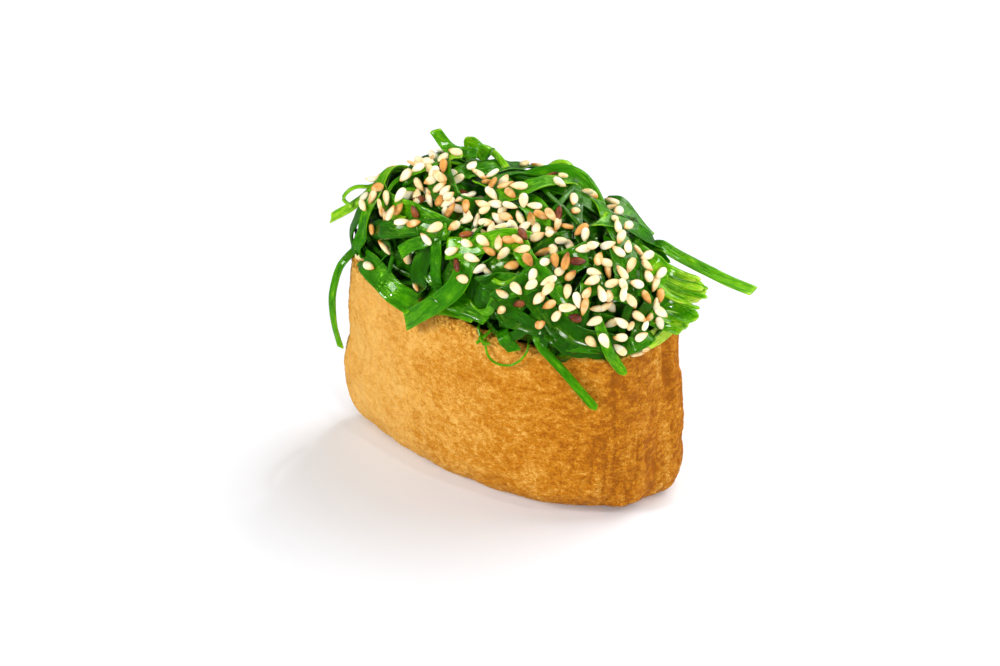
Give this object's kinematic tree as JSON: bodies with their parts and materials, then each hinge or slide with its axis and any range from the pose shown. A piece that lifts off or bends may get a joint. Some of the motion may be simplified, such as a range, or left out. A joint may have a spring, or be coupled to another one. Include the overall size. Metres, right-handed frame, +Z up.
{
  "type": "inari sushi",
  "caption": "Fried tofu pouch, open at the top and heaped with shredded seaweed salad under sesame seeds; it stands on its flat underside.",
  "frame": {"origin": "on the flat underside, in the middle of the pouch's length and width", "axes": "+X along the pouch from its pointed tip to its blunt end, -Y out of the front wall, +Z up"},
  "size_m": [0.0828, 0.0392, 0.0677],
  "materials": {
    "fried_tofu": "satin, dimpled golden brown",
    "seaweed": "wet gloss, dark green",
    "seaweed_strip": "wet gloss, bright green"
  },
  "bodies": {
    "root": {"tofu_pouch": "fried_tofu", "seaweed_salad": "seaweed", "tip_hanging_strip": "seaweed_strip", "tip_top_strip": "seaweed_strip", "crest_strip": "seaweed_strip", "crest_arch": "seaweed_strip", "crest_knob": "seaweed_strip", "blunt_edged_strip": "seaweed_strip", "blunt_long_strip": "seaweed_strip", "blunt_leaf": "seaweed_strip", "front_hanging_strip": "seaweed_strip", "blunt_hanging_strip": "seaweed_strip", "front_ribbon": "seaweed_strip", "rim_ribbon": "seaweed_strip"}
  },
  "joints": []
}
